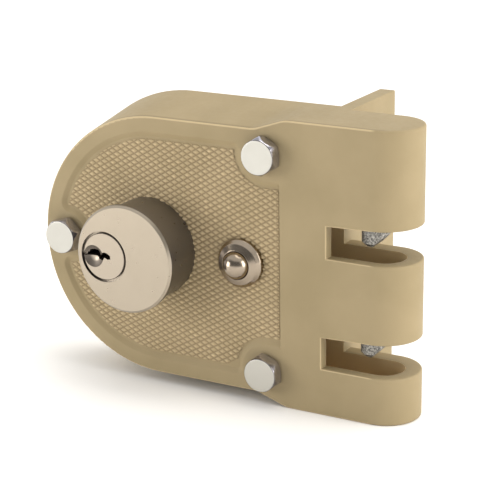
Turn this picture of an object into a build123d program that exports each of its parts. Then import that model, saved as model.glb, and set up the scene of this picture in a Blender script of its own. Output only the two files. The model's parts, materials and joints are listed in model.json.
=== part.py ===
from build123d import *
import math
import os

# Surface lock for a sliding door, millimetres.
# +X towards the strike and the fingers, -Y out of the room-side face, +Z up.
# Origin: the key plug's axis where it meets the plane of the case back.

# ---- driving dimensions -------------------------------------------------------
DEPTH = 22.8             # case depth, D-shaped half
YF = -DEPTH              # plane of the case front
H = 42.15                # half height of the case
R_FRONT = 38.8           # left end radius at the front
R_BACK = H               # left end radius at the back (drafted sides)
X_ARC = 8.65             # centre of the left end
X_STEP0, X_STEP1 = 41.5, 51.0   # slope from the D outline to full height
R_STEP = 8.0             # rounding of that slope
X_FLANGE0, X_FLANGE1 = 57.05, 62.05
FLANGE_REACH = 26.3      # flange behind the case back
Y_FINGER = -2.6          # back of the fingers
X_END = 77.9             # centre of the round finger ends
R_END = (Y_FINGER - YF) / 2
WALL_FRONT = 3.2
FINGER_BACK_WALL = 4.95
X_CAV_END = 77.6         # centre of the round end of the finger cavity
Y_CAV0, Y_CAV1 = YF + WALL_FRONT, Y_FINGER - FINGER_BACK_WALL
R_CAV = (Y_CAV1 - Y_CAV0) / 2
X_MAIN = 54.0            # right wall of the main cavity
Z_IN = 39.0              # cavity half height
SLOT1 = (4.45, 13.55)    # upper strike slot
SLOT2 = (-28.25, -19.05)  # lower strike slot
X_SLOT1, X_SLOT2 = 64.0, 62.4
SLOT_DRAFT = 0.03

PANEL_DEPTH = 0.8        # recess of the patterned panel
R_PANEL = 33.0           # foot of the recess's slope, about the same centre as the left end
X_PANEL = 49.3
R_ISLE = 9.1             # raised islands at the right bolts, at the slope's foot
R_ISLE_L = 8.2           # raised island at the left bolt
R_NOOK, R_NOOK_L = 0.8, 1.6   # roundings where the outline meets the islands

B_LEFT = (-22.55, 0.0)
B_TOP = (44.9, 31.9)
B_LOW = (44.9, -31.9)
HEX_AF, HEX_H = 10.0, 4.3
BOLT_R, THREAD_R = 2.6, 2.9   # rolled thread: the plain shank is thinner
BOLT_END = 12.2          # bolt end behind the case back

X_CYL = 6.67             # centre of the cylinder housing
R_LIP, R_BARREL, R_SPIGOT = 15.9, 14.8, 14.35
CYL_FACE = YF - 14.3
CYL_REAR = -12.6
R_PLUG = 6.45
R_PLUG_HEAD = 6.95
PIN_R = 1.45
PIN_Y = (-32.0, -28.0, -24.0, -20.0, -16.0)

BUTTON = (37.0, -0.5)
TRAVEL = 7.2             # carriage travel each way
CRANK_R = 9.9
PIN_X, PIN_YC = 74.85, (Y_CAV0 + Y_CAV1) / 2
PIN_BOLT_R = 4.0
TIP1, TIP2 = 7.75, -24.6


# ---- helpers ---------------------------------------------------------------------
def prism(sketch, y0, y1):
    """Sketch in X,Z, extruded from y0 to y1."""
    return extrude(Plane.XZ.offset(-y1) * sketch, amount=y1 - y0)


def rod(x, z, r, y0, y1):
    return Pos(x, (y0 + y1) / 2, z) * Rot(X=90) * Cylinder(r, y1 - y0)


def rod_x(x0, x1, y, z, r):
    return Pos((x0 + x1) / 2, y, z) * Rot(Y=90) * Cylinder(r, x1 - x0)


def rod_z(x, y, z0, z1, r):
    return Pos(x, y, (z0 + z1) / 2) * Cylinder(r, z1 - z0)


def block(x0, x1, y0, y1, z0, z1):
    return Pos((x0 + x1) / 2, (y0 + y1) / 2, (z0 + z1) / 2) * Box(x1 - x0, y1 - y0, z1 - z0)


def turned(points, x=0.0, z=0.0):
    """Profile of (radius, y) points turned about an axis along Y through x, z."""
    face = make_face(Polyline(*points, close=True))
    return Pos(x, 0, z) * revolve(face, Axis.Y)


def save(shape, name):
    solids = shape.solids() if not isinstance(shape, list) else [s for p in shape for s in p.solids()]
    out = solids[0] if len(solids) == 1 else Compound(solids)
    export_step(out, "parts/" + name + ".step")
    return out


def at(y, *pts):
    return [Vector(px, y, pz) for px, pz in pts]


def arc3(a, b, c):
    return Edge.make_three_point_arc(a, b, c)


def line(a, b):
    return Edge.make_line(a, b)


os.makedirs("parts", exist_ok=True)

# ---- case ------------------------------------------------------------------------
slope = math.atan2(H - R_FRONT, X_STEP1 - X_STEP0)
tan_len = R_STEP * math.tan(slope / 2)


def outline(y, r, step):
    """Closed outline of the D half at depth y: end arc, straight sides and the slope."""
    z1 = H if step else r
    a0 = (X_STEP0 - tan_len, r)
    a2 = (X_STEP0 + tan_len * math.cos(slope), r + (tan_len * math.sin(slope) if step else 0))
    a1 = (X_STEP0 + R_STEP * (math.sin(slope / 2)) - tan_len, r + (R_STEP * (1 - math.cos(slope / 2)) if step else 0))
    b0 = (X_STEP1 - tan_len * math.cos(slope), z1 - (tan_len * math.sin(slope) if step else 0))
    b2 = (X_STEP1 + tan_len, z1)
    b1 = (X_STEP1 + tan_len - R_STEP * math.sin(slope / 2), z1 - (R_STEP * (1 - math.cos(slope / 2)) if step else 0))
    c = (X_FLANGE1, z1)

    def v(p, s):
        return Vector(p[0], y, p[1] * s)

    edges = []

    def side(s):
        seq = []
        if step:
            seq.append(arc3(v(a0, s), v(a1, s), v(a2, s)))
        else:
            seq.append(line(v(a0, s), v(a2, s)))
        seq.append(line(v(a2, s), v(b0, s)))
        if step:
            seq.append(arc3(v(b0, s), v(b1, s), v(b2, s)))
        else:
            seq.append(line(v(b0, s), v(b2, s)))
        seq.append(line(v(b2, s), v(c, s)))
        return seq

    edges.append(line(Vector(X_ARC, y, r), v(a0, 1)))
    edges += side(1)
    edges.append(line(v(c, 1), v(c, -1)))
    edges += side(-1)
    edges.append(line(v(a0, -1), Vector(X_ARC, y, -r)))
    edges.append(arc3(Vector(X_ARC, y, -r), Vector(X_ARC - r, y, 0), Vector(X_ARC, y, r)))
    return Wire(edges)


body = Solid.make_loft([outline(0.0, R_BACK, False), outline(YF, R_FRONT, True)], ruled=True)
fingers = block(X_FLANGE1 - 0.5, X_END, YF, Y_FINGER, -H, H) + rod_z(X_END, (YF + Y_FINGER) / 2, -H, H, R_END)
flange = block(X_FLANGE0, X_FLANGE1, -3.0, FLANGE_REACH, -H, H)
flange = flange.fillet(0.4, [e for e in flange.edges() if e.center().Y > 26.0 or (abs(e.center().Z) > H - 0.1 and e.center().Y > 0)])
outer = (Part() + body + fingers).solids()[0]


def slot_cut(z0, z1, x_front):
    """Strike slot with a drafted ceiling: the front wall starts at x_front, the back one at the flange."""
    def wedge(x0, y0, y1):
        pts = [(x0, z0), (100.0, z0), (100.0, z1 + SLOT_DRAFT * (100.0 - 62.0)), (x0, z1 + SLOT_DRAFT * (x0 - 62.0))]
        return prism(make_face(Polyline(*pts, close=True)), y0, y1)

    return wedge(x_front, YF - 1, PIN_YC) + wedge(X_FLANGE1, PIN_YC - 0.5, Y_FINGER + 1)


def front_edges(solid):
    """Edges round the front face, and round the ends of the fingers."""
    found = []
    for e in solid.edges():
        b = e.bounding_box()
        on_front = b.max.Y < YF + 0.05
        upright = b.max.Z - b.min.Z > 80.0
        finger_end = b.max.Z - b.min.Z < 0.05 and abs(b.max.Z) > H - 0.05 and b.max.X > 63.0 and b.max.Y < -2.0
        if (on_front and not upright) or finger_end:
            found.append(e)
    return found


EDGE_R = 0.7             # rounding of the casting's front edges
outer = outer.fillet(EDGE_R, front_edges(outer))


def slot_edges(solid):
    """Outer edges of the strike slots."""
    found = []
    for e in solid.edges():
        b = e.bounding_box()
        flat = b.max.Z - b.min.Z < 1.2 and b.max.Z < 16.0 and b.min.Z > -30.0
        outside = b.max.Y < YF + 0.05 or (b.max.X > X_END + 0.5 and b.min.Y < YF + 1.0) or (b.min.Y > Y_FINGER - 0.05 and b.max.Y < Y_FINGER + 0.05)
        end = b.max.Y < YF + 0.05 and b.max.Z - b.min.Z < 12.0 and b.max.X - b.min.X < 0.05
        if b.max.X > 62.0 and ((flat and outside and b.max.X - b.min.X > 1.0) or end):
            found.append(e)
    return found


outer = (Part() + outer - slot_cut(*SLOT1, X_SLOT1) - slot_cut(*SLOT2, X_SLOT2)).solids()[0]
outer = outer.fillet(0.5, slot_edges(outer))
case = Part() + outer + flange


def cavity_outline(y, r):
    edges = [
        line(Vector(X_ARC, y, r), Vector(X_MAIN, y, r)),
        line(Vector(X_MAIN, y, r), Vector(X_MAIN, y, -r)),
        line(Vector(X_MAIN, y, -r), Vector(X_ARC, y, -r)),
        arc3(Vector(X_ARC, y, -r), Vector(X_ARC - r, y, 0), Vector(X_ARC, y, r)),
    ]
    return Wire(edges)


R_IN_F, R_IN_B = 36.2, 39.0
cavity = Solid.make_loft([cavity_outline(0.0, R_IN_B), cavity_outline(Y_CAV0, R_IN_F)], ruled=True)
cavity = Part() + cavity + block(30.0, X_MAIN, Y_CAV0, 0.0, -R_IN_F, R_IN_F)
finger_cavity = (
    block(X_MAIN - 0.5, X_CAV_END, Y_CAV0, Y_CAV1, -Z_IN, Z_IN)
    + rod_z(X_CAV_END, PIN_YC, -Z_IN, Z_IN, R_CAV)
)

# bosses inside
PLATE_T = 2.0
PLATE_SCREWS = [(-12.0, 24.5), (-12.0, -24.5), (28.0, 33.5), (28.0, -33.5)]
CLAMP_BOSS = [(X_CYL, 17.6), (X_CYL, -17.6)]
DETENT_BOSS = (14.0, -29.0)
POSTS = [(26.0, 0.0), (46.3, 0.0)]
bosses = Part()
for bx, bz in (B_LEFT, B_TOP, B_LOW):
    bosses += rod(bx, bz, 4.7, Y_CAV0 - 0.5, -PLATE_T)
for bx, bz in PLATE_SCREWS:
    bosses += rod(bx, bz, 3.4, Y_CAV0 - 0.5, -PLATE_T)
for bx, bz in CLAMP_BOSS:
    bosses += rod(bx, bz, 3.0, Y_CAV0 - 0.5, CYL_REAR)
bosses += rod(*DETENT_BOSS, 3.2, Y_CAV0 - 0.5, -7.0)
for bx, bz in POSTS:
    bosses += rod(bx, bz, 3.0, Y_CAV0 - 0.5, -16.6)

case = case - cavity - finger_cavity + bosses


# recessed panel with bevelled border
def panel_wire(y, grow, grow_right):
    """Outline of the recess, grown outwards. The islands shrink as it grows, and every arc keeps its centre."""
    r = R_PANEL + grow
    ri, rl = R_ISLE - grow, R_ISLE_L - grow
    xr = X_PANEL + grow_right
    tx, tz = B_TOP
    # rounding between the top line and the right bolt's island
    reach = R_ISLE + R_NOOK
    cz = R_PANEL - R_NOOK
    cx = tx - math.sqrt(reach**2 - (cz - tz) ** 2)
    rn = R_NOOK + grow
    ux, uz = (cx - tx) / reach, (cz - tz) / reach
    p1 = (cx, r)
    p2 = (tx + ux * ri, tz + uz * ri)
    a1, a2 = math.pi / 2, math.atan2(-uz, -ux)
    am = (a1 + a2) / 2
    pm = (cx + rn * math.cos(am), cz + rn * math.sin(am))
    p3 = (tx, tz - ri)
    b1 = math.atan2(uz, ux) % (2 * math.pi)
    bm = (b1 + 1.5 * math.pi) / 2
    isle = (tx + ri * math.cos(bm), tz + ri * math.sin(bm))
    p4 = (xr, tz - ri)
    # rounding between the end arc and the left bolt's island
    da, db = R_PANEL - R_NOOK_L, R_ISLE_L + R_NOOK_L
    d = X_ARC - B_LEFT[0]
    a = (da**2 - db**2 + d**2) / (2 * d)
    lx, lz = X_ARC - a, math.sqrt(da**2 - a**2)
    rn = R_NOOK_L + grow
    q1 = (X_ARC + (lx - X_ARC) * r / da, lz * r / da)
    q2 = (B_LEFT[0] + (lx - B_LEFT[0]) * rl / db, lz * rl / db)
    g1 = math.atan2(lz, lx - X_ARC)
    g2 = math.atan2(-lz, B_LEFT[0] - lx) % (2 * math.pi)
    gm = (g1 + g2) / 2
    qm = (lx + rn * math.cos(gm), lz + rn * math.sin(gm))
    gt = (g1 + math.pi / 2) / 2
    top = (X_ARC + r * math.cos(gt), r * math.sin(gt))

    def p(pt, s=1):
        return Vector(pt[0], y, pt[1] * s)

    e = []
    for s in (1, -1):
        half = [
            line(p((X_ARC, r), s), p(p1, s)),
            arc3(p(p1, s), p(pm, s), p(p2, s)),
            arc3(p(p2, s), p(isle, s), p(p3, s)),
            line(p(p3, s), p(p4, s)),
        ]
        e += half if s == 1 else half[::-1]
        if s == 1:
            e.append(line(p(p4), p(p4, -1)))
    e += [
        arc3(p((X_ARC, r), -1), p(top, -1), p(q1, -1)),
        arc3(p(q1, -1), p(qm, -1), p(q2, -1)),
        arc3(p(q2, -1), p((B_LEFT[0] + rl, 0)), p(q2)),
        arc3(p(q2), p(qm), p(q1)),
        arc3(p(q1), p(top), p((X_ARC, r))),
    ]
    return Wire(e)


sections = []
for grow, depth in ((1.62, -0.03), (1.4, 0.03), (1.2, 0.12), (0.0, PANEL_DEPTH)):
    sections.append(panel_wire(YF + depth, grow, 0.2 * grow))
recess = Solid.make_loft(sections, ruled=True)
case = case - recess

# holes
for bx, bz in (B_LEFT, B_TOP, B_LOW):
    case -= rod(bx, bz, 3.3, YF - 1, 1)
for bx, bz in PLATE_SCREWS:
    case -= rod(bx, bz, 1.65, -12.0, 1)
case -= rod(X_CYL, 0, R_SPIGOT + 0.05, YF - 1, Y_CAV0 + 0.2)
case -= rod(*BUTTON, 6.35, YF - 1, Y_CAV0 + 0.2)
case -= rod(*DETENT_BOSS, 1.25, -13.0, -6.0)
for bx, bz in POSTS:
    case -= rod(bx, bz, 2.03, -20.6, -16.0)
PANEL_Y = YF + PANEL_DEPTH

# ---- back plate ---------------------------------------------------------------------
gap = 0.25
r_pl = R_IN_B - gap - 0.15
plate_sk = make_face([
    Line((X_ARC, r_pl), (X_MAIN - gap, r_pl)),
    Line((X_MAIN - gap, r_pl), (X_MAIN - gap, -r_pl)),
    Line((X_MAIN - gap, -r_pl), (X_ARC, -r_pl)),
    ThreePointArc((X_ARC, -r_pl), (X_ARC - r_pl, 0), (X_ARC, r_pl)),
])
back_plate = prism(plate_sk, -PLATE_T, 0.0)
for bx, bz in (B_LEFT, B_TOP, B_LOW):
    back_plate -= rod(bx, bz, 3.3, -3, 1)
BUSH_R = 5.6
back_plate -= rod(0, 0, BUSH_R + 0.02, -3, 1)
for bx, bz in PLATE_SCREWS:
    back_plate -= turned([(0, -2.5), (2.1, -2.5), (2.1, -1.9), (3.9, -0.1), (3.9, 0.5), (0, 0.5)], bx, bz)

screws = []
for bx, bz in PLATE_SCREWS:
    s = turned([(0, -10.0), (1.2, -10.0), (1.6, -9.5), (1.6, -2.0), (1.95, -1.85), (3.65, -0.15), (3.65, -0.05), (0, -0.05)], bx, bz)
    s -= Pos(bx, 0, bz) * (block(-2.2, 2.2, -1.1, 0.2, -0.4, 0.4) + block(-0.4, 0.4, -1.1, 0.2, -2.2, 2.2))
    screws.append(s)

# ---- mounting bolts --------------------------------------------------------------------
bolts = []
for (bx, bz), turn_deg in ((B_LEFT, 15.0), (B_TOP, -3.0), (B_LOW, -9.0)):
    head = prism(RegularPolygon(HEX_AF / 2, 6, major_radius=False), YF - HEX_H, YF)
    head = head & turned([(0, YF - HEX_H), (4.95, YF - HEX_H), (6.2, YF - HEX_H + 0.92), (6.2, YF), (0, YF)])
    head = Rot(Y=turn_deg + 30.0) * head
    shank = turned([
        (0, YF - 0.5), (BOLT_R, YF - 0.5), (BOLT_R, -0.3), (THREAD_R, 0.0), (THREAD_R, BOLT_END - 0.8),
        (THREAD_R - 0.8, BOLT_END), (0, BOLT_END)])
    bolts.append(Pos(bx, 0, bz) * (head + shank))

# ---- cylinder ---------------------------------------------------------------------------
f = CYL_FACE
housing = turned([
    (0, f), (15.25, f), (R_LIP, f + 0.65), (R_LIP, f + 1.9), (15.35, f + 2.2), (15.35, f + 2.7), (R_BARREL, f + 3.2),
    (R_BARREL, PANEL_Y), (R_SPIGOT, PANEL_Y), (R_SPIGOT, CYL_REAR), (0, CYL_REAR)], X_CYL)
housing -= rod(0, 0, R_PLUG + 0.05, f - 1, CYL_REAR + 1)
housing -= rod(0, 0, 7.6, f - 1, f + 1.45)
for y in PIN_Y:
    housing -= rod_x(0.0, 18.0, y, 0.0, PIN_R + 0.05)
CYL_SCREWS = [(10.8, 9.2), (10.8, -9.2)]
for bx, bz in CYL_SCREWS:
    housing -= rod(bx, bz, 1.3, CYL_REAR - 7.5, CYL_REAR + 1)

PLUG_REAR = CYL_REAR + 0.6
plug = turned([
    (0, f + 0.15), (R_PLUG_HEAD - 0.15, f + 0.15), (R_PLUG_HEAD, f + 0.3), (R_PLUG_HEAD, f + 1.4), (R_PLUG, f + 1.4),
    (R_PLUG, PLUG_REAR), (0, PLUG_REAR)])
# dimple where the key goes in
plug -= Pos(-3.6, f + 0.15 - 3.9, -0.3) * Sphere(5.1)
# warded keyway, open at the plug's edge
key_pts = [
    (-7.3, 0.5), (-5.4, 0.65), (-5.1, 1.4), (-3.8, 1.65), (-2.3, 1.6), (-1.8, 1.0), (-1.65, 0.3), (-1.2, 0.15), (-0.8, 0.95),
    (0.1, 1.3), (1.0, 1.15), (2.1, 0.5), (2.2, -0.55), (1.2, -0.75), (0.5, -0.4), (0.1, -0.3), (-0.2, -0.85), (-0.5, -1.3),
    (-2.3, -1.2), (-2.5, -0.7), (-3.0, -0.45), (-5.3, -0.4), (-7.3, -0.4)]
plug -= prism(make_face(Polyline(*key_pts, close=True)), f - 1, PLUG_REAR - 3.0)
for y in PIN_Y:
    plug -= rod_x(0.3, 8.0, y, 0.0, PIN_R + 0.05)
# pocket for the tailpiece head, and retainer screw holes
plug -= block(-4.1, 4.1, PLUG_REAR - 1.25, PLUG_REAR + 1, -1.05, 1.05)
RET_SCREWS = [(0.0, 4.3), (0.0, -4.3)]
for bx, bz in RET_SCREWS:
    plug -= rod(bx, bz, 0.9, PLUG_REAR - 2.6, PLUG_REAR + 1)

bottom_len = (5.6, 4.6, 5.2, 4.2, 5.0)
bottom_pins, driver_pins, springs = [], [], []


def coil(wire_r, mean_r, y0, y1, turns):
    """Open coil along Y from y0 to y1, each end in a closed ring."""
    h = (y1 - y0) - 2 * wire_r
    path = Edge.make_helix(pitch=h / turns, height=h, radius=mean_r)
    section = Plane(origin=path @ 0, z_dir=path % 0) * Circle(wire_r)
    s = sweep(section, path=path)
    s = Pos(0, 0, wire_r) * s
    return Pos(0, y0, 0) * Rot(X=-90) * s


for y, length in zip(PIN_Y, bottom_len):
    top = 6.2
    tip = turned([(0, 0), (0.55, 0.0), (PIN_R, 0.8), (PIN_R, length - 0.15), (PIN_R - 0.15, length), (0, length)])
    bottom_pins.append(Pos(top - length, y, 0) * Rot(Z=-90) * tip)
    drv = turned([(0, 0), (PIN_R - 0.15, 0), (PIN_R, 0.15), (PIN_R, 4.3), (PIN_R - 0.3, 4.5), (0, 4.5)])
    driver_pins.append(Pos(6.62, y, 0) * Rot(Z=-90) * drv)
    springs.append(Pos(11.2, y, 0) * Rot(Z=-90) * coil(0.18, 1.05, 0.0, 6.7, 7))

RET_Y0, RET_Y1 = PLUG_REAR, PLUG_REAR + 1.4
retainer = rod(0, 0, 8.2, RET_Y0, RET_Y1) - block(-3.1, 3.1, RET_Y0 - 1, RET_Y1 + 1, -0.85, 0.85)
ret_screws = []
for bx, bz in RET_SCREWS:
    retainer -= turned([(0, RET_Y0 - 0.5), (1.1, RET_Y0 - 0.5), (1.1, RET_Y0 + 0.4), (2.1, RET_Y1 + 0.02), (2.1, RET_Y1 + 1), (0, RET_Y1 + 1)], bx, bz)
    s = turned([(0, RET_Y0 - 2.3), (0.85, RET_Y0 - 2.3), (0.85, RET_Y0 + 0.25), (0.95, RET_Y0 + 0.5), (1.9, RET_Y1 - 0.05), (0, RET_Y1 - 0.05)], bx, bz)
    s -= Pos(bx, 0, bz) * block(-2.5, 2.5, RET_Y1 - 0.6, RET_Y1 + 1, -0.25, 0.25)
    ret_screws.append(s)

tailpiece = block(-3.0, 3.0, PLUG_REAR - 0.05, -4.5, -0.8, 0.8) + block(-4.0, 4.0, PLUG_REAR - 1.2, PLUG_REAR - 0.05, -0.95, 0.95)

# ---- hub ----------------------------------------------------------------------------------
HUB_Y0, HUB_Y1 = -9.4, -6.6
JOURNAL_R = 4.4
arm_sk = make_face([
    Line((0, 7.4), (CRANK_R, 3.9)),
    ThreePointArc((CRANK_R, 3.9), (CRANK_R + 3.9, 0), (CRANK_R, -3.9)),
    Line((CRANK_R, -3.9), (0, -7.4)),
    ThreePointArc((0, -7.4), (-7.4, 0), (0, 7.4)),
])
hub = prism(arm_sk, HUB_Y0, HUB_Y1) + rod(0, 0, JOURNAL_R, HUB_Y1 - 0.5, 0.0)
hub -= block(-3.15, 3.15, -20, 1, -0.95, 0.95)
hub -= rod(CRANK_R, 0, 1.52, -20, 0)
crank_pin = turned([
    (0, HUB_Y0 - 0.0), (1.5, HUB_Y0 - 0.0), (1.5, HUB_Y1), (2.0, HUB_Y1), (2.0, -3.0), (1.7, -2.7), (0, -2.7)], CRANK_R)
bushing = turned([(JOURNAL_R + 0.05, -3.4), (6.35, -3.4), (6.35, -PLATE_T), (BUSH_R, -PLATE_T), (BUSH_R, 0.0), (JOURNAL_R + 0.05, 0.0)])

# ---- clamp plate ----------------------------------------------------------------------------
CP0, CP1 = CYL_REAR, CYL_REAR + 1.4
clamp = rod(X_CYL, 0, 20.6, CP0, CP1) & block(-10.0, 19.5, CP0 - 1, CP1 + 1, -30, 30)
clamp -= rod(0, 0, 8.7, CP0 - 1, CP1 + 1)
cyl_screws = []
for bx, bz in CYL_SCREWS:
    clamp -= rod(bx, bz, 1.6, CP0 - 1, CP1 + 1)
    s = turned([(0, CP0 - 6.5), (1.25, CP0 - 6.5), (1.25, CP1), (2.6, CP1), (2.6, CP1 + 0.8), (2.1, CP1 + 1.2), (0, CP1 + 1.2)], bx, bz)
    s -= Pos(bx, 0, bz) * block(-3, 3, CP1 + 0.6, CP1 + 2, -0.3, 0.3)
    cyl_screws.append(s)
for bx, bz in CLAMP_BOSS:
    clamp -= rod(bx, bz, 1.2, CP0 - 1, CP1 + 1)

# ---- carriage ---------------------------------------------------------------------------------
TG0, TG1 = -6.3, -3.4     # tongue, in front of the back plate
BAR_X0, BAR_X1 = 50.0, 53.6
ARM_H = 6.0
ARM1 = (23.0, 29.0)
ARM2 = (-9.6, -3.6)
carriage = block(BAR_X0, BAR_X1, Y_CAV0 + 0.35, TG1, -13.0, 29.0)
ARM_R = R_CAV - 0.35
for z0, z1 in (ARM1, ARM2):
    carriage += block(BAR_X1 - 0.5, PIN_X - 0.4, PIN_YC - ARM_R, PIN_YC + ARM_R, z0, z1)
    carriage += rod_z(PIN_X - 0.4, PIN_YC, z0, z1, ARM_R)
tongue_pts = [
    (6.4, 2.25), (6.4, 6.0), (12.5, 6.5), (18.6, 13.0), (BAR_X0 + 1, 13.0), (BAR_X0 + 1, -13.0), (22.0, -13.0),
    (22.0, -18.0), (18.6, -18.0), (18.6, -6.8), (12.5, -6.5), (6.4, -6.0), (6.4, -2.25), (12.2, -2.25), (12.2, 2.25)]
carriage += prism(make_face(Polyline(*tongue_pts, close=True)), TG0, TG1)


def tall_slot(x, z, w, half):
    return block(x - w, x + w, TG0 - 1, TG1 + 1, z - half, z + half) + rod(x, z + half, w, TG0 - 1, TG1 + 1) + rod(x, z - half, w, TG0 - 1, TG1 + 1)


POST_R = 2.3
for bx, bz in POSTS:
    carriage -= tall_slot(bx, bz, POST_R + 0.15, TRAVEL + 0.4)
STEM_R = 2.2
carriage -= tall_slot(BUTTON[0], BUTTON[1], STEM_R + 0.35, TRAVEL + 0.4)
# room for the leaf spring's blade when the carriage is down
carriage -= block(15.9, 18.6, TG0 - 1, TG1 + 1, -7.5, -0.85)
# detent notches in the left edge of the lower leg
NOTCH_Z = -9.4
for dz in (-TRAVEL, 0.0, TRAVEL):
    carriage -= rod(18.6 - 0.55, NOTCH_Z + dz, 1.35, TG0 - 1, TG1 + 1)
for z0, z1 in (ARM1, ARM2):
    carriage -= rod_z(PIN_X, PIN_YC, z0 - 1, z1 - 1.0, PIN_BOLT_R + 0.03)
    carriage -= rod(PIN_X, (z0 + z1) / 2 - 0.3, 1.02, -25, 0)


def bolt(tip, top):
    b = rod_z(PIN_X, PIN_YC, tip, top, PIN_BOLT_R)
    # slanted tip on the strike side, rounded on the other
    cut = Polyline((PIN_X + 0.3, tip), (PIN_X + 6.3, tip + 6.0), (PIN_X + 6.3, tip - 3), (PIN_X + 0.3, tip - 3), close=True)
    b -= prism(make_face(cut), PIN_YC - 8, PIN_YC + 8)
    cone = Pos(PIN_X, PIN_YC, tip + 30) * Cone(PIN_BOLT_R - 1.0, PIN_BOLT_R - 1.0 + 60, 60)
    b = b & cone
    b -= rod(PIN_X, top - 3.0 + 0.7, 1.02, -25, 0)
    return b


upper_bolt = bolt(TIP1, ARM1[1] - 1.0)
lower_bolt = bolt(TIP2, ARM2[1] - 1.0)
roll_pins = []
for z0, z1 in (ARM1, ARM2):
    zc = (z0 + z1) / 2 - 0.3
    roll_pins.append(rod(PIN_X, zc, 1.0, PIN_YC - ARM_R + 0.3, PIN_YC + ARM_R - 0.3) - rod(PIN_X, zc, 0.55, -25, 0))

posts = []
for bx, bz in POSTS:
    posts.append(turned([(0, -20.2), (2.0, -20.2), (2.0, -16.6), (2.9, -16.6), (2.9, TG0 - 0.2), (POST_R, TG0 - 0.2), (POST_R, -2.4), (1.9, -2.1), (0, -2.1)], bx, bz))

# leaf spring: foot on its boss, blade up to the notch, rolled tip
LT = 0.6
foot_z = DETENT_BOSS[1]
tip_c = (18.6 - 0.55, NOTCH_Z)
path_pts = [(10.2, foot_z - 1.5), (15.4, foot_z - 1.5), (16.3, foot_z - 0.4), (16.3, -15.0), (tip_c[0] - 0.45, NOTCH_Z - 1.6)]
blade = make_face(Polyline(
    (16.0, foot_z + 3.1), (16.7, foot_z + 3.1), (17.1, -20.5), (tip_c[0] - 0.1, NOTCH_Z - 0.9), (tip_c[0] - 0.7, NOTCH_Z - 0.9), (16.4, -20.5), close=True))
detent = prism(blade, TG0 + 0.2, TG1 - 0.1)
detent += rod(tip_c[0] - 0.15, NOTCH_Z, 1.05, TG0 + 0.2, TG1 - 0.1) - rod(tip_c[0] - 0.15, NOTCH_Z, 0.5, -20, 0)
detent += block(10.6, 16.7, -7.0, -6.4, foot_z - 3.2, foot_z + 3.3)
detent += block(16.0, 16.7, -7.0, TG1 - 0.1, foot_z + 0.5, foot_z + 3.3)
detent -= rod(*DETENT_BOSS, 1.6, -8, -5)
detent_screw = turned([(0, -12.5), (1.2, -12.5), (1.2, -6.4), (1.95, -6.4), (1.95, -5.6), (1.5, -5.0), (0, -5.0)], *DETENT_BOSS)
detent_screw -= Pos(DETENT_BOSS[0], 0, DETENT_BOSS[1]) * block(-3, 3, -5.6, -4, -0.3, 0.3)

# ---- button ------------------------------------------------------------------------------------
bx, bz = BUTTON
R_DOME = 4.15
BC = YF - 2.1            # centre of the dome
RIM_Y = YF - 0.9         # outer edge of the collar
LIP_Y = YF - 3.05
SHOULDER = YF - 1.2      # the stop ring on the button rests under the lip here
collar = turned([
    (7.05, PANEL_Y), (7.05, RIM_Y + 0.12), (6.97, RIM_Y), (6.15, RIM_Y - 1.02), (6.02, RIM_Y - 1.15), (4.4, LIP_Y + 0.03),
    (4.28, LIP_Y), (R_DOME + 0.05, LIP_Y + 0.1), (R_DOME + 0.05, SHOULDER - 0.02), (5.1, SHOULDER - 0.02), (5.1, -16.2),
    (6.3, -16.2), (6.3, PANEL_Y)], bx, bz)
STEM_END = -7.3
CLIP0, CLIP1 = -16.15, -15.55
k = R_DOME * math.sqrt(0.5)
button_face = make_face([
    ThreePointArc((0, BC - R_DOME), (k, BC - k), (R_DOME, BC)),
    Polyline(
        (R_DOME, BC), (R_DOME, SHOULDER), (5.0, SHOULDER), (5.0, YF + 0.4), (STEM_R, YF + 0.4), (STEM_R, CLIP0 - 0.02), (1.7, CLIP0 - 0.02), (1.7, CLIP1 + 0.02),
        (STEM_R, CLIP1 + 0.02), (STEM_R, STEM_END - 0.5), (STEM_R - 0.5, STEM_END), (0, STEM_END), (0, BC - R_DOME)),
])
button = Pos(bx, 0, bz) * revolve(button_face, Axis.Y)
seat = turned([(STEM_R + 0.12, -17.4), (5.05, -17.4), (5.05, -16.25), (STEM_R + 0.12, -16.25)], bx, bz)
clip = turned([(1.74, CLIP0), (3.9, CLIP0), (3.9, CLIP1), (1.74, CLIP1)], bx, bz)
clip -= Pos(bx, 0, bz) * block(-1.2, 1.2, CLIP0 - 1, CLIP1 + 1, -5, -1)
button_spring = Pos(bx, YF + 0.45, bz) * coil(0.35, 3.3, 0.0, -17.45 - (YF + 0.45), 3)

# ---- write ---------------------------------------------------------------------------------------
PARTS = {
    "case": case,
    "back_plate": back_plate,
    "back_plate_screws": screws,
    "mounting_bolts": bolts,
    "cylinder_housing": housing,
    "driver_pins": driver_pins,
    "driver_springs": springs,
    "clamp_plate": clamp,
    "cylinder_screws": cyl_screws,
    "button_collar": collar,
    "button_spring_seat": seat,
    "hub_bushing": bushing,
    "carriage_guide_posts": posts,
    "detent_spring": detent,
    "detent_screw": detent_screw,
    "key_plug": plug,
    "bottom_pins": bottom_pins,
    "plug_retainer": retainer,
    "retainer_screws": ret_screws,
    "tailpiece": tailpiece,
    "drive_hub": hub,
    "crank_pin": crank_pin,
    "bolt_carriage": carriage,
    "upper_bolt": upper_bolt,
    "lower_bolt": lower_bolt,
    "bolt_roll_pins": roll_pins,
    "stop_button": button,
    "button_clip": clip,
    "button_spring": button_spring,
}
for name, shape in PARTS.items():
    save(shape, name)
    print(name, "written")
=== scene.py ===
import json
import math

import bmesh
import bpy
import numpy as np
from mathutils import Matrix, Vector


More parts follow.
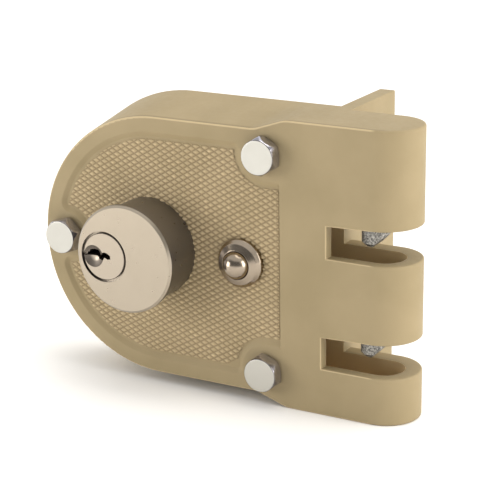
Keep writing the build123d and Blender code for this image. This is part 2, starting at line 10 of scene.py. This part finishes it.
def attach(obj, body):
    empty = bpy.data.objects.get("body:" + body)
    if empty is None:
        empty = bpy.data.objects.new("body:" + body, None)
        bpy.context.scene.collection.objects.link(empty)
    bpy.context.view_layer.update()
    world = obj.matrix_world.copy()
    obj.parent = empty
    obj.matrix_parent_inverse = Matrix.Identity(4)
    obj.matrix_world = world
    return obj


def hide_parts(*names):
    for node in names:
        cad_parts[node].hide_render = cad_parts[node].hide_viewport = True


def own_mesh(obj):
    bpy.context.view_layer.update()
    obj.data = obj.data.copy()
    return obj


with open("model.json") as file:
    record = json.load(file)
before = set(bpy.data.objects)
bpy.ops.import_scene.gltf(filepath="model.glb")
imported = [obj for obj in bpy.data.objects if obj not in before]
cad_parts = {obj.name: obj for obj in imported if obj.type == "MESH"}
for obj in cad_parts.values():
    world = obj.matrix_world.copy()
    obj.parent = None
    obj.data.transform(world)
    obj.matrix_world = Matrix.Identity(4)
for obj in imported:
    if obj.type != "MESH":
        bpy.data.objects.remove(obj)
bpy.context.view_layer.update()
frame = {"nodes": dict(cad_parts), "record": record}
NODES = frame["nodes"]

# ---- dimensions shared with the CAD model, in metres -----------------------------------
MM = 0.001
YF = -22.8                      # plane of the case front
FLOOR_Y = -22.0                 # floor of the patterned recess
H = 42.15                       # half height of the case
X_ARC = 8.65
BOLTS = ((-22.55, 0.0, 15.0), (44.9, 31.9, -3.0), (44.9, -31.9, -9.0))   # x, z, turn in degrees
HEX_AF, HEX_H = 10.0, 4.3
BOLT_END = 12.2
X_CYL, R_BARREL = 6.67, 14.8
CYL_FACE = YF - 14.3
BUTTON = (37.0, -0.5)
R_COLLAR = 7.05


def srgb(r, g, b):
    """Linear colour from 8-bit display values."""
    out = []
    for c in (r, g, b):
        c = c / 255.0
        out.append(c / 12.92 if c <= 0.04045 else ((c + 0.055) / 1.055) ** 2.4)
    return (*out, 1.0)


# ---- camera ---------------------------------------------------------------------------------
def add_camera():
    az, el, roll = map(math.radians, (29.469, 17.45, -0.816))
    back = Vector((math.sin(az) * math.cos(el), -math.cos(az) * math.cos(el), math.sin(el)))
    right = Vector((math.cos(az), math.sin(az), 0.0))
    up = back.cross(right)
    r = right * math.cos(roll) + up * math.sin(roll)
    u = -right * math.sin(roll) + up * math.cos(roll)
    data = bpy.data.cameras.new("camera")
    data.sensor_width = 36.0
    data.lens = 120.31
    data.clip_start, data.clip_end = 0.01, 50.0
    cam = bpy.data.objects.new("camera", data)
    m = Matrix((r, u, back)).transposed().to_4x4()
    m.translation = Vector((0.260849, -0.413469, 0.144779))
    cam.matrix_world = m
    bpy.context.scene.collection.objects.link(cam)
    bpy.context.scene.camera = cam


# ---- node material helpers -------------------------------------------------------------------
class Mat:
    """A small wrapper round one node material."""

    def __init__(self, name):
        self.mat = bpy.data.materials.new(name)
        self.mat.use_nodes = True
        self.nt = self.mat.node_tree
        self.bsdf = self.nt.nodes["Principled BSDF"]
        self.coord = self.nt.nodes.new("ShaderNodeTexCoord")

    def node(self, kind, **values):
        n = self.nt.nodes.new(kind)
        for k, v in values.items():
            if isinstance(v, bpy.types.NodeSocket):
                self.link(v, n.inputs[k.replace("_", " ")])
            elif k in n.inputs or k.replace("_", " ") in n.inputs:
                n.inputs[k if k in n.inputs else k.replace("_", " ")].default_value = v
            else:
                setattr(n, k, v)
        return n

    def link(self, a, b):
        self.nt.links.new(a, b)

    def position(self, scale=(1, 1, 1), shift=(0, 0, 0), turn=(0, 0, 0)):
        m = self.nt.nodes.new("ShaderNodeMapping")
        m.inputs["Scale"].default_value = scale
        m.inputs["Location"].default_value = shift
        m.inputs["Rotation"].default_value = turn
        self.link(self.coord.outputs["Object"], m.inputs["Vector"])
        return m.outputs["Vector"]

    def noise(self, scale, detail=3.0, rough=0.55, vector=None, distortion=0.0):
        n = self.nt.nodes.new("ShaderNodeTexNoise")
        n.inputs["Scale"].default_value = scale
        n.inputs["Detail"].default_value = detail
        n.inputs["Roughness"].default_value = rough
        n.inputs["Distortion"].default_value = distortion
        self.link(vector or self.coord.outputs["Object"], n.inputs["Vector"])
        return n.outputs["Fac"]

    def ramp(self, fac, stops, mode="LINEAR"):
        n = self.nt.nodes.new("ShaderNodeValToRGB")
        n.color_ramp.interpolation = mode
        e = n.color_ramp.elements
        while len(e) < len(stops):
            e.new(0.5)
        for el, (pos, col) in zip(e, stops):
            el.position = pos
            el.color = col if len(col) == 4 else (*col, 1.0)
        self.link(fac, n.inputs["Fac"])
        return n.outputs["Color"]

    def remap(self, value, a, b, c, d):
        n = self.nt.nodes.new("ShaderNodeMapRange")
        n.inputs["From Min"].default_value = a
        n.inputs["From Max"].default_value = b
        n.inputs["To Min"].default_value = c
        n.inputs["To Max"].default_value = d
        self.link(value, n.inputs["Value"])
        return n.outputs["Result"]

    def math(self, op, a, b=None):
        n = self.nt.nodes.new("ShaderNodeMath")
        n.operation = op
        for i, v in enumerate((a, b)):
            if v is None:
                continue
            if isinstance(v, bpy.types.NodeSocket):
                self.link(v, n.inputs[i])
            else:
                n.inputs[i].default_value = v
        return n.outputs["Value"]

    def mix(self, fac, a, b, kind="MIX"):
        n = self.nt.nodes.new("ShaderNodeMix")
        n.data_type = "RGBA"
        n.blend_type = kind
        n.clamp_factor = True
        for s, v in (("Factor", fac), ("A", a), ("B", b)):
            sock = [i for i in n.inputs if i.name == s and i.enabled][0]
            if isinstance(v, bpy.types.NodeSocket):
                self.link(v, sock)
            else:
                sock.default_value = v
        return [o for o in n.outputs if o.enabled][0]

    def bump(self, height, distance, strength=1.0, normal=None):
        n = self.nt.nodes.new("ShaderNodeBump")
        n.inputs["Distance"].default_value = distance
        n.inputs["Strength"].default_value = strength
        self.link(height, n.inputs["Height"])
        if normal is not None:
            self.link(normal, n.inputs["Normal"])
        return n.outputs["Normal"]

    def split(self, vector):
        n = self.nt.nodes.new("ShaderNodeSeparateXYZ")
        self.link(vector, n.inputs["Vector"])
        return n.outputs["X"], n.outputs["Y"], n.outputs["Z"]

    def geo(self):
        return self.nt.nodes.new("ShaderNodeNewGeometry")

    def radius(self, x0, z0):
        """Distance from an axis along Y."""
        x, _, z = self.split(self.position(shift=(-x0 * MM, 0, -z0 * MM)))
        return self.math("SQRT", self.math("ADD", self.math("MULTIPLY", x, x), self.math("MULTIPLY", z, z)))

    def set(self, **values):
        for k, v in values.items():
            s = self.bsdf.inputs[k.replace("_", " ")]
            if isinstance(v, bpy.types.NodeSocket):
                self.link(v, s)
            else:
                s.default_value = v
        return self.mat


def paint(name, base, lift=1.0, grain=0.000012, groove_shade=None):
    """Satin enamel over a casting: slight mottling, fine orange peel and a few dust nibs. On the cast pattern it adds
    painted shade deep in each groove and a painted highlight on the peaks; elsewhere it adds painted highlights along
    the edges and painted light in the finger cavities.
    """
    m = Mat(name)
    r, g, b, _ = base
    light = (min(1, r * 1.06 * lift), min(1, g * 1.06 * lift), min(1, b * 1.07 * lift), 1)
    dark = (r * 0.94, g * 0.94, b * 0.92, 1)
    mottled = m.ramp(m.noise(55.0, 4.0, 0.5), [(0.36, dark), (0.64, light)])
    fine = m.noise(3600.0, 2.0, 0.5)
    tone = m.mix(0.10, mottled, m.ramp(fine, [(0.3, dark), (0.7, light)]), "MIX")
    x, y, z = m.split(m.position())
    if groove_shade:
        # painted shade: the enamel darkens towards the bottom of each groove of the pattern
        groove_shade_mask = m.remap(y, (FLOOR_Y - RELIEF * 0.42) * MM, (FLOOR_Y - 0.02) * MM, 0.0, 1.0)
        tone = m.mix(m.math("MULTIPLY", groove_shade_mask, groove_shade), tone, (r * 0.30, g * 0.26, b * 0.20, 1))
        # painted highlight: the enamel lightens on the peaks of the pattern
        peak_highlight = m.remap(y, (FLOOR_Y - RELIEF * 0.72) * MM, (FLOOR_Y - RELIEF * 0.98) * MM, 0.0, 0.48)
        tone = m.mix(peak_highlight, tone, (min(1, r * 1.7), min(1, g * 1.7), min(1, b * 1.75), 1))
    else:
        # painted light: the enamel is lifted to a much lighter tone in the cavity of the fingers
        dx = m.math("MAXIMUM", m.math("SUBTRACT", x, 0.0776), 0.0)
        dy = m.math("ADD", y, 0.013575)
        depth = m.math("SQRT", m.math("ADD", m.math("MULTIPLY", dx, dx), m.math("MULTIPLY", dy, dy)))
        up = m.math("ABSOLUTE", z)
        inside = m.math("MULTIPLY", m.remap(depth, 0.0061, 0.0062, 1.0, 0.0),
                        m.math("MULTIPLY", m.remap(x, 0.0500, 0.0502, 0.0, 1.0), m.remap(up, 0.0405, 0.0410, 1.0, 0.0)))
        tone = m.mix(inside, tone, (min(1, r * 2.1), min(1, g * 2.03), min(1, b * 2.0), 1))
    peel = m.noise(1500.0, 2.0, 0.45)
    nibs = m.ramp(m.noise(900.0, 1.0, 0.4), [(0.72, (0, 0, 0)), (0.80, (1, 1, 1))])
    height = m.math("ADD", peel, m.math("MULTIPLY", nibs, 0.8))
    edge = m.nt.nodes.new("ShaderNodeBevel")
    edge.samples = 6
    edge.inputs["Radius"].default_value = 0.0004
    if not groove_shade:
        # painted highlight: the enamel is lighter along the edges, where the bevel normal turns away from the surface
        # normal
        dot = m.nt.nodes.new("ShaderNodeVectorMath")
        dot.operation = "DOT_PRODUCT"
        m.link(edge.outputs["Normal"], dot.inputs[0])
        m.link(m.geo().outputs["Normal"], dot.inputs[1])
        edge_highlight = m.remap(dot.outputs["Value"], 0.80, 0.96, 0.55, 0.0)
        # the same painted highlight on the rounded front edges of the casting, with a painted shade band where the
        # rounding starts
        _, ny, _ = m.split(m.geo().outputs["Normal"])
        past = m.math("MINIMUM", m.math("SUBTRACT", x, X_ARC * MM), 0.0)
        out = m.math("SQRT", m.math("ADD", m.math("MULTIPLY", past, past), m.math("MULTIPLY", z, z)))
        outer = m.math("MAXIMUM", m.remap(out, 0.0345, 0.0347, 0.0, 1.0), m.remap(x, 0.0560, 0.0562, 0.0, 1.0))
        outer = m.math("MULTIPLY", outer, m.remap(y, (YF + 0.70) * MM, (YF + 0.74) * MM, 1.0, 0.0))
        outer = m.math("MULTIPLY", outer, m.remap(x, 0.0770, 0.0785, 1.0, 0.0))
        facing = m.math("MULTIPLY", ny, -1.0)
        fillet_highlight = m.ramp(facing, [(0.30, (0, 0, 0)), (0.45, (1, 1, 1)), (0.88, (1, 1, 1)), (0.97, (0, 0, 0))])
        fillet_shade_band = m.ramp(facing, [(0.155, (0, 0, 0)), (0.20, (1, 1, 1)), (0.30, (1, 1, 1)), (0.38, (0, 0, 0))])
        tone = m.mix(m.math("MULTIPLY", m.math("MULTIPLY", fillet_shade_band, outer), 0.55), tone, (r * 0.5, g * 0.48, b * 0.42, 1))
        # painted shade: a darker band on the top and bottom faces just behind the front edge
        top_shade_band = m.math("MULTIPLY", m.remap(m.math("ABSOLUTE", ny), 0.20, 0.26, 1.0, 0.0),
                          m.math("MULTIPLY", m.remap(y, (YF + 0.50) * MM, (YF + 0.68) * MM, 0.0, 1.0),
                                 m.remap(y, (YF + 1.15) * MM, (YF + 1.6) * MM, 1.0, 0.0)))
        top_shade_band = m.math("MULTIPLY", top_shade_band, m.remap(m.math("ABSOLUTE", z), 0.030, 0.032, 0.0, 0.40))
        tone = m.mix(top_shade_band, tone, (r * 0.5, g * 0.48, b * 0.42, 1))
        # painted highlight: the edge and fillet masks lighten the enamel here
        edge_highlight = m.math("MAXIMUM", edge_highlight, m.math("MULTIPLY", m.math("MULTIPLY", fillet_highlight, outer), 0.75))
        tone = m.mix(edge_highlight, tone, (min(1, r * 1.75), min(1, g * 1.75), min(1, b * 1.85), 1))
    rough = m.remap(m.noise(700.0, 3.0, 0.6), 0.3, 0.7, 0.46, 0.56)
    return m.set(Base_Color=tone, Roughness=rough, Normal=m.bump(height, grain, 1.0, edge.outputs["Normal"]),
                 Specular_IOR_Level=0.15)


def metal(name, base, rough=(0.2, 0.3), tint=0.06, grain=1400.0, depth=0.000004, spots=None, brushed=None,
          rings=None, edge=0.00015, sides=None, chamfer=None, side_rough=None, side_span=(0.93, 0.985),
          turned=0.0, ring_scale=6000.0):
    """Metal with uneven polish. brushed stretches the grain along one axis, rings turns it round an axis along Y,
    sides is a darker tone where the surface doesn't face front or back, and chamfer one on the slanted
    faces of the bolt heads."""
    m = Mat(name)
    r, g, b, _ = base
    light = (min(1, r * (1 + tint)), min(1, g * (1 + tint)), min(1, b * (1 + tint)), 1)
    dark = (r * (1 - tint), g * (1 - tint * 1.1), b * (1 - tint * 1.3), 1)
    tone = m.ramp(m.noise(170.0, 4.0, 0.6), [(0.35, dark), (0.65, light)])
    vec = m.position(scale=brushed) if brushed else None
    if rings:
        rad = m.radius(*rings)
        n = m.nt.nodes.new("ShaderNodeTexNoise")
        n.noise_dimensions = "1D"
        n.inputs["Scale"].default_value = ring_scale
        n.inputs["Detail"].default_value = 3.0
        m.link(rad, n.inputs["W"])
        fine = m.math("ADD", m.math("MULTIPLY", n.outputs["Fac"], 0.7), m.math("MULTIPLY", m.noise(grain, 2.0), 0.3))
    else:
        fine = m.noise(grain, 3.0, 0.55, vec)
    if spots:
        mask = m.ramp(m.noise(spots[0], 4.0, 0.65), [(0.58, (0, 0, 0)), (0.72, (1, 1, 1))])
        tone = m.mix(m.math("MULTIPLY", mask, spots[1]), tone, spots[2])
    if sides:
        geo = m.nt.nodes.new("ShaderNodeNewGeometry")
        facing = m.math("ABSOLUTE", m.split(geo.outputs["Normal"])[1])
        aside = m.remap(facing, *side_span, 1.0, 0.0)
        tone = m.mix(aside, tone, sides)
        if chamfer:
            y = m.split(m.position())[1]
            cut = m.ramp(facing, [(0.28, (0, 0, 0)), (0.40, (1, 1, 1)), (0.90, (1, 1, 1)), (0.97, (0, 0, 0))])
            cut = m.math("MULTIPLY", cut, m.remap(y, (YF - 1.0) * MM, (YF - 0.9) * MM, 1.0, 0.0))
            tone = m.mix(cut, tone, chamfer)
    roughness = m.remap(m.noise(420.0, 4.0, 0.6), 0.3, 0.7, *rough)
    if side_rough:
        roughness = m.math("ADD", roughness, m.math("MULTIPLY", aside, side_rough))
    base_normal = None
    if edge:
        bev = m.nt.nodes.new("ShaderNodeBevel")
        bev.samples = 4
        bev.inputs["Radius"].default_value = edge
        base_normal = bev.outputs["Normal"]
    if turned:
        # tool marks run round the axis, so the highlight stretches across them
        cross = m.nt.nodes.new("ShaderNodeVectorMath")
        cross.operation = "CROSS_PRODUCT"
        cross.inputs[0].default_value = (0.0, 1.0, 0.0)
        m.link(m.position(shift=(-rings[0] * MM, 0, -rings[1] * MM)), cross.inputs[1])
        unit = m.nt.nodes.new("ShaderNodeVectorMath")
        unit.operation = "NORMALIZE"
        m.link(cross.outputs["Vector"], unit.inputs[0])
        m.set(Anisotropic=turned, Tangent=unit.outputs["Vector"])
    return m.set(Base_Color=tone, Metallic=1.0, Roughness=roughness,
                 Normal=m.bump(fine, depth, 1.0, base_normal))


def cast_metal(name, base, rough=(0.45, 0.65)):
    """As-cast zinc: granular, pitted, dull."""
    m = Mat(name)
    r, g, b, _ = base
    tone = m.ramp(m.noise(1700.0, 4.0, 0.75), [(0.36, (r * 0.22, g * 0.22, b * 0.22, 1)), (0.5, base),
                                              (0.62, (min(1, r * 1.9), min(1, g * 1.9), min(1, b * 1.85), 1))])
    pits = m.noise(1800.0, 3.0, 0.7)
    return m.set(Base_Color=tone, Metallic=0.85, Roughness=m.remap(m.noise(800.0, 3.0), 0.3, 0.7, *rough),
                 Normal=m.bump(pits, 0.00012, 0.9))


def assign(obj, mat):
    obj.data.materials.clear()
    obj.data.materials.append(mat)


def make_object(name, verts, faces, smooth=True, body="root", mat=None, angle=None):
    mesh = bpy.data.meshes.new(name)
    mesh.from_pydata([tuple(v) for v in verts], [], [tuple(f) for f in faces])
    mesh.validate()
    mesh.update()
    obj = bpy.data.objects.new(name, mesh)
    bpy.context.scene.collection.objects.link(obj)
    if smooth:
        mesh.polygons.foreach_set("use_smooth", [True] * len(mesh.polygons))
    if angle is not None:
        bm = bmesh.new()
        bm.from_mesh(mesh)
        for e in bm.edges:
            if len(e.link_faces) == 2 and e.calc_face_angle(0.0) > math.radians(angle):
                e.smooth = False
        bm.to_mesh(mesh)
        bm.free()
    if mat is not None:
        assign(obj, mat)
    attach(obj, body)
    return obj


# ---- the cast diamond pattern on the recess floor ----------------------------------------------
KX, KZ = 0.336, 0.571           # cycles per mm across and up: two line families
RELIEF = 0.55
SUB = 6


def field_distance(x, z):
    """How far inside the patterned field a point lies, mm. Negative outside."""
    r = 32.35
    az = np.abs(z)
    d = np.where(x < X_ARC, r - np.hypot(x - X_ARC, z), r - az)
    d = np.minimum(d, 49.25 - x)
    for bx, bz, ri in ((44.9, 31.9, 9.7), (-22.55, 0.0, 8.75)):
        d = np.minimum(d, np.hypot(x - bx, az - bz) - ri)
    d = np.minimum(d, np.where(x > 44.9, 22.2 - az, 99.0))
    return d


def knurled_field(mat):
    cells = []
    u0 = int(math.floor(-24 * KX - 34 * KZ)) - 1
    u1 = int(math.ceil(50 * KX + 34 * KZ)) + 1
    n = (u1 - u0) * SUB + 1
    a = u0 + np.arange(n) / SUB
    U, V = np.meshgrid(a, a, indexing="ij")
    X = (U - V) / (2 * KX) + 0.35
    Z = (U + V) / (2 * KZ) + 0.2
    D = field_distance(X, Z)
    keep = (D > -0.05) & (np.hypot(X - X_CYL, Z) > R_BARREL - 0.25)
    keep &= np.hypot(X - BUTTON[0], Z - BUTTON[1]) > R_COLLAR - 0.25
    tu = 1 - np.abs(2 * (U - np.floor(U)) - 1)
    tv = 1 - np.abs(2 * (V - np.floor(V)) - 1)
    s = np.minimum(tu, tv)
    h = RELIEF * (1 - (1 - s) ** 1.7)
    rng = np.random.default_rng(7)
    # each diamond of a worn casting is a little higher or lower than its neighbours
    cu, cv = np.floor(U).astype(int) - u0, np.floor(V).astype(int) - u0
    per_cell = rng.normal(1.0, 0.07, (u1 - u0 + 2, u1 - u0 + 2))
    h = h * per_cell[np.clip(cu, 0, u1 - u0 + 1), np.clip(cv, 0, u1 - u0 + 1)]
    fade = np.clip(D / 0.32, 0, 1)
    h = h * fade * fade * (3 - 2 * fade)
    Y = FLOOR_Y + 0.05 - h
    quad = keep[:-1, :-1] & keep[1:, :-1] & keep[1:, 1:] & keep[:-1, 1:]
    ii, jj = np.nonzero(quad)
    idx = -np.ones((n, n), int)
    corners = [(ii, jj), (ii, jj + 1), (ii + 1, jj + 1), (ii + 1, jj)]
    used = np.zeros((n, n), bool)
    for i, j in corners:
        used[i, j] = True
    idx[used] = np.arange(used.sum())
    verts = np.stack([X[used], Y[used], Z[used]], 1) * MM
    faces = np.stack([idx[i, j] for i, j in corners], 1)
    # wind so that the faces look out of the case front
    p = verts[faces[0]]
    if np.cross(p[1] - p[0], p[2] - p[0])[1] > 0:
        faces = faces[:, ::-1]
    return make_object("diamond_pattern", verts.tolist(), faces.tolist(), mat=mat)


# ---- mounting bolts ----------------------------------------------------------------------------------
def hex_radius(a, af):
    k = math.pi / 3
    return af / 2 / math.cos((a % k) - k / 2)


def soft_min(a, b, k):
    """The smaller of two radii, with the corner between them rounded over k mm."""
    d = max(0.0, 1.0 - abs(a - b) / (2 * k))
    return min(a, b) - k * 0.5 * d * d


def mounting_bolts(mat):
    """Three hex bolts with chamfered heads and rolled threads, in place of the plain CAD ones."""
    verts, faces = [], []

    def ring(points):
        i0 = len(verts)
        verts.extend(points)
        return list(range(i0, len(verts)))

    def skin(a, b):
        n = len(a)
        for i in range(n):
            j = (i + 1) % n
            faces.append((a[i], a[j], b[j], b[i]))

    for bx, bz, turn in BOLTS:
        n = 96
        angs = [2 * math.pi * i / n for i in range(n)]
        t0 = math.radians(30.0 - turn)
        top = YF - HEX_H

        def at(a, r, y):
            return ((bx + r * math.cos(a)) * MM, y * MM, (bz + r * math.sin(a)) * MM)

        rims = []
        # slightly dished top, rolled edge, then the flats cut by a cone at both ends
        for r, dy in ((0.02, 0.05), (2.0, 0.045), (3.9, 0.03), (4.66, 0.0), (4.82, 0.012), (4.90, 0.07)):
            rims.append(ring([at(a, r, top + dy) for a in angs]))
        full = [hex_radius(a - t0, HEX_AF + 0.05) for a in angs]
        levels = [0.13, 0.22, 0.34, 0.48, 0.64, 0.82, 1.0, 1.2, 1.4, 1.65, 2.1, 2.6, 2.9, 3.1, 3.3, 3.5, 3.7, 3.85, 3.95]
        for dy in levels:
            cone = min(4.94 + (dy - 0.10) / 2.6, 5.12 + (3.98 - dy) / 0.9)
            rims.append(ring([at(a, soft_min(R, cone, 0.10), top + dy) for a, R in zip(angs, full)]))
        rims.append(ring([at(a, 4.75, top + 4.02) for a in angs]))
        rims.append(ring([at(a, 4.7, YF - 0.0) for a in angs]))
        rims.append(ring([at(a, 2.6, YF - 0.0) for a in angs]))
        rims.append(ring([at(a, 2.6, -2.9) for a in angs]))
        # thread: one continuous V ridge, 1.0 mm pitch
        pitch, r_in, r_out = 1.0, 2.36, 2.9
        y = -2.9
        step = pitch / 8
        while y < BOLT_END - 0.9:
            y += step
            row = []
            for a in angs:
                ph = (y / pitch + a / (2 * math.pi)) % 1.0
                t = abs(2 * ph - 1)
                t = min(1.0, max(0.0, (t - 0.08) / 0.80))
                fade = min(1.0, (y + 2.9) / 0.7)
                row.append(at(a, r_in + (r_out - r_in) * (t if fade >= 1 else 1 - (1 - t) * fade), y))
            rims.append(ring(row))
        rims.append(ring([at(a, 2.2, BOLT_END - 0.25) for a in angs]))
        rims.append(ring([at(a, 2.0, BOLT_END) for a in angs]))
        rims.append(ring([at(a, 0.02, BOLT_END - 0.04) for a in angs]))
        for a, b in zip(rims, rims[1:]):
            skin(a, b)
        faces.append(tuple(rims[0]))
        faces.append(tuple(reversed(rims[-1])))
    obj = make_object("threaded_mounting_bolts", verts, faces, mat=mat, angle=30)
    bm = bmesh.new()
    bm.from_mesh(obj.data)
    bmesh.ops.recalc_face_normals(bm, faces=bm.faces)
    bm.to_mesh(obj.data)
    bm.free()
    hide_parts("mounting_bolts")
    return obj


# ---- stage ---------------------------------------------------------------------------------------------
TENT = (0.98, 0.976, 0.965, 1.0)
OPENING = (0.24, 0.24, 0.24, 1.0)


def add_stage():
    floor_z = -0.04215
    mesh = bpy.data.meshes.new("floor")
    s = 6.0
    mesh.from_pydata([(-s, -s, floor_z), (s, -s, floor_z), (s, s, floor_z), (-s, s, floor_z)], [], [(0, 1, 2, 3)])
    floor = bpy.data.objects.new("floor", mesh)
    bpy.context.scene.collection.objects.link(floor)
    m = Mat("pale_floor")
    tone = m.ramp(m.noise(3.0, 3.0, 0.5), [(0.3, (0.98, 0.98, 0.98)), (0.7, (0.995, 0.995, 0.995))])
    m.set(Base_Color=tone, Roughness=0.95, Specular_IOR_Level=0.1)
    floor.data.materials.append(m.mat)

    world = bpy.data.worlds.new("studio")
    world.use_nodes = True
    nt = world.node_tree
    bg = nt.nodes["Background"]
    # a white light tent, open and dim on the side the picture is taken from
    split = nt.nodes.new("ShaderNodeSeparateXYZ")
    nt.links.new(nt.nodes.new("ShaderNodeTexCoord").outputs["Generated"], split.inputs["Vector"])

    def span(axis, a, b, c, d):
        n = nt.nodes.new("ShaderNodeMapRange")
        n.interpolation_type = "SMOOTHSTEP"
        for k, v in (("From Min", a), ("From Max", b), ("To Min", c), ("To Max", d)):
            n.inputs[k].default_value = v
        nt.links.new(split.outputs[axis], n.inputs["Value"])
        return n.outputs["Result"]

    def times(a, b):
        n = nt.nodes.new("ShaderNodeMath")
        n.operation = "MULTIPLY"
        nt.links.new(a, n.inputs[0])
        nt.links.new(b, n.inputs[1])
        return n.outputs["Value"]

    opening = times(span("Y", -0.62, -0.25, 1.0, 0.0), times(span("Z", 0.04, 0.16, 0.0, 1.0), span("Z", 0.60, 0.78, 1.0, 0.0)))
    ramp = nt.nodes.new("ShaderNodeValToRGB")
    ramp.color_ramp.elements[0].color = TENT
    ramp.color_ramp.elements[1].color = OPENING
    nt.links.new(opening, ramp.inputs["Fac"])
    nt.links.new(ramp.outputs["Color"], bg.inputs["Color"])
    bg.inputs["Strength"].default_value = 1.0
    bpy.context.scene.world = world

    def softbox(name, direction, distance, size, energy, colour=(1, 1, 1), target=(0.025, -0.01, 0.0)):
        data = bpy.data.lights.new(name, "AREA")
        data.shape = "RECTANGLE"
        data.size, data.size_y = size
        data.energy = energy
        data.color = colour
        o = bpy.data.objects.new(name, data)
        d = Vector(direction).normalized()
        o.location = Vector(target) + d * distance
        o.rotation_euler = (-d).to_track_quat("-Z", "Y").to_euler()
        bpy.context.scene.collection.objects.link(o)

    # even light on the floor and the upper faces, from above and a little behind on the right
    data = bpy.data.lights.new("overhead", "SUN")
    data.energy = 1.2
    data.angle = math.radians(50.0)
    data.color = (1.0, 0.94, 0.84)
    o = bpy.data.objects.new("overhead", data)
    o.rotation_euler = (-Vector((0.15, 0.25, 1.0))).to_track_quat("-Z", "Y").to_euler()
    bpy.context.scene.collection.objects.link(o)
    softbox("front_left", (-0.74, -0.66, 0.17), 0.60, (0.34, 0.28), 1.55, (1.0, 0.985, 0.96))
    softbox("side_right", (0.95, 0.0, 0.30), 0.90, (0.50, 0.62), 5.0, (1.0, 0.975, 0.93))


# ---- build -----------------------------------------------------------------------------------------------
add_camera()
add_stage()

beige = srgb(157, 141, 109)
materials = {
    "case_paint": paint("case_enamel", beige),
    "zinc_sheet": metal("zinc_plated_sheet", srgb(196, 197, 196), (0.28, 0.42), 0.10, 900.0, 0.000010,
                        spots=(260.0, 0.25, (0.35, 0.36, 0.36, 1)), brushed=(1.0, 1.0, 9.0)),
    "zinc_hardware": metal("bright_zinc", srgb(187, 185, 178), (0.14, 0.24), 0.02, 900.0, 0.000004,
                           spots=(420.0, 0.16, (0.50, 0.51, 0.49, 1)), sides=srgb(194, 194, 207),
                           chamfer=srgb(118, 115, 118)),
    "satin_nickel": metal("satin_nickel", srgb(169, 158, 142), (0.27, 0.33), 0.012, 1800.0, 0.0000010, rings=(X_CYL, 0.0),
                          edge=0.0, sides=srgb(142, 140, 142), side_span=(0.15, 0.45)),
    "polished_nickel": metal("polished_nickel", srgb(160, 147, 131), (0.15, 0.21), 0.04, 700.0, 0.0000030, rings=BUTTON, ring_scale=3400.0,
                             turned=0.35),
    "brass": metal("machined_brass", srgb(205, 170, 98), (0.22, 0.34), 0.07, 1500.0, 0.000004),
    "spring_steel": metal("spring_steel", srgb(150, 150, 152), (0.22, 0.34), 0.06, 1500.0, 0.000004),
    "zinc_cast": cast_metal("grey_casting", srgb(140, 138, 134)),
}
by_node = {
    "key_plug": metal("satin_nickel_plug", srgb(172, 161, 146), (0.27, 0.33), 0.012, 1800.0, 0.0000010, rings=(0.0, 0.0),
                      edge=0.0, sides=srgb(112, 104, 96), side_rough=0.22),
}
for part in frame["record"]["subparts"]:
    name = part["node"]
    assign(NODES[name], by_node.get(name) or materials[part["material_slot"]])

knurled_field(paint("case_enamel_pattern", srgb(180, 161, 127), groove_shade=0.66))
mounting_bolts(materials["zinc_hardware"])
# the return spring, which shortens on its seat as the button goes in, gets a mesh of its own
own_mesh(NODES["button_spring"])

bpy.context.scene.view_settings.view_transform = "Standard"
